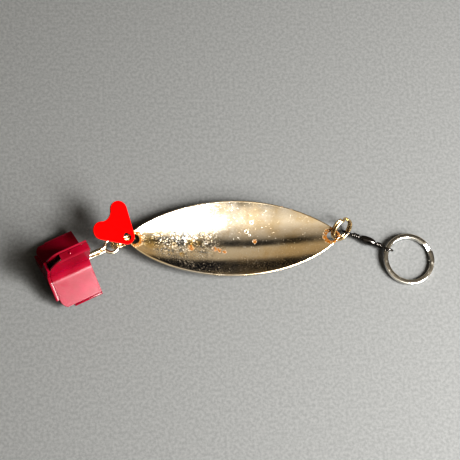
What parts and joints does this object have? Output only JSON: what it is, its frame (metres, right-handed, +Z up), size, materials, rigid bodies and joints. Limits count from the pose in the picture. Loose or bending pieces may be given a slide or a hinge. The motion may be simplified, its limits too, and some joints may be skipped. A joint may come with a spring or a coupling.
{
  "type": "spoon lure",
  "caption": "Willow-leaf spoon lure with barrel swivel, key ring, heart tag and a treble hook shut in a hinged cover.",
  "frame": {"origin": "middle of the bounding box on the table it lies on", "axes": "+X along the blade toward the key ring, +Z up out of the hollow side of the blade"},
  "size_m": [0.1518, 0.0401, 0.0239],
  "materials": {
    "blade_nickel": "worn bright nickel with a warm tarnish, frosted scratches and rust spots at the holes",
    "ring_nickel": "bright nickel gone brassy",
    "swivel_dark": "dark plated, glossy",
    "key_nickel": "bright nickel",
    "heart_red": "plain red sheet, pale cut edge",
    "hook_nickel": "cream tarnished nickel",
    "hook_solder": "brown solder between the wires",
    "cover_crimson": "glossy crimson, slightly scuffed"
  },
  "bodies": {
    "blade": {"blade": "blade_nickel"},
    "front_ring": {"front_split_ring": "ring_nickel"},
    "front_eye": {"swivel_front_eye": "swivel_dark"},
    "barrel": {"swivel_barrel": "swivel_dark"},
    "rear_eye": {"swivel_rear_eye": "swivel_dark"},
    "key_ring": {"key_ring": "key_nickel"},
    "rear_ring": {"rear_split_ring": "ring_nickel"},
    "heart": {"heart_tag": "heart_red"},
    "treble": {"hook_double": "hook_nickel", "hook_single": "hook_nickel", "hook_braze": "hook_solder", "cover_base": "cover_crimson"},
    "near_leaf": {"cover_near_leaf": "cover_crimson"},
    "far_leaf": {"cover_far_leaf": "cover_crimson"}
  },
  "joints": [
    {"name": "front_ring_swing", "type": "hinge", "parent": "blade", "child": "front_ring", "pos_m": [0.03565, 0.00505, 0.00585], "axis": [0, 0, 1], "range_deg": [-18, 18]},
    {"name": "front_eye_swing", "type": "hinge", "parent": "front_ring", "child": "front_eye", "pos_m": [0.04255, 0.00765, 0.00226], "axis": [0.556, 0.72, 0.4153], "range_deg": [-25, 25]},
    {"name": "barrel_spin", "type": "hinge", "parent": "front_eye", "child": "barrel", "pos_m": [0.04255, 0.00765, 0.00226], "axis": [0.915, -0.4035, 0], "continuous": true},
    {"name": "rear_eye_spin", "type": "hinge", "parent": "barrel", "child": "rear_eye", "pos_m": [0.04255, 0.00765, 0.00226], "axis": [0.915, -0.4035, 0], "continuous": true},
    {"name": "key_ring_flap", "type": "hinge", "parent": "rear_eye", "child": "key_ring", "pos_m": [0.05779, 0.00093, 0.00226], "axis": [-0.4664, -0.8846, 0], "range_deg": [0, 60]},
    {"name": "rear_ring_swing", "type": "hinge", "parent": "blade", "child": "rear_ring", "pos_m": [-0.03875, 0.00505, 0.00585], "axis": [0, 0, 1], "range_deg": [-15, 15]},
    {"name": "heart_slide", "type": "hinge", "parent": "rear_ring", "child": "heart", "pos_m": [-0.04336, 0.00367, 0.0073], "axis": [0.3444, -0.9361, -0.0715], "range_deg": [-12, 12]},
    {"name": "hook_swing", "type": "hinge", "parent": "rear_ring", "child": "treble", "pos_m": [-0.0472, 0.00214, 0.0088], "axis": [-0.3444, 0.9361, 0.0715], "range_deg": [0, 25]},
    {"name": "near_leaf_hinge", "type": "hinge", "parent": "treble", "child": "near_leaf", "pos_m": [-0.05119, -0.01447, 0.00321], "axis": [0.91, 0.4147, 0], "range_deg": [0, 105]},
    {"name": "far_leaf_hinge", "type": "hinge", "parent": "treble", "child": "far_leaf", "pos_m": [-0.06197, 0.00919, 0.00321], "axis": [-0.91, -0.4147, 0], "range_deg": [0, 105]}
  ]
}
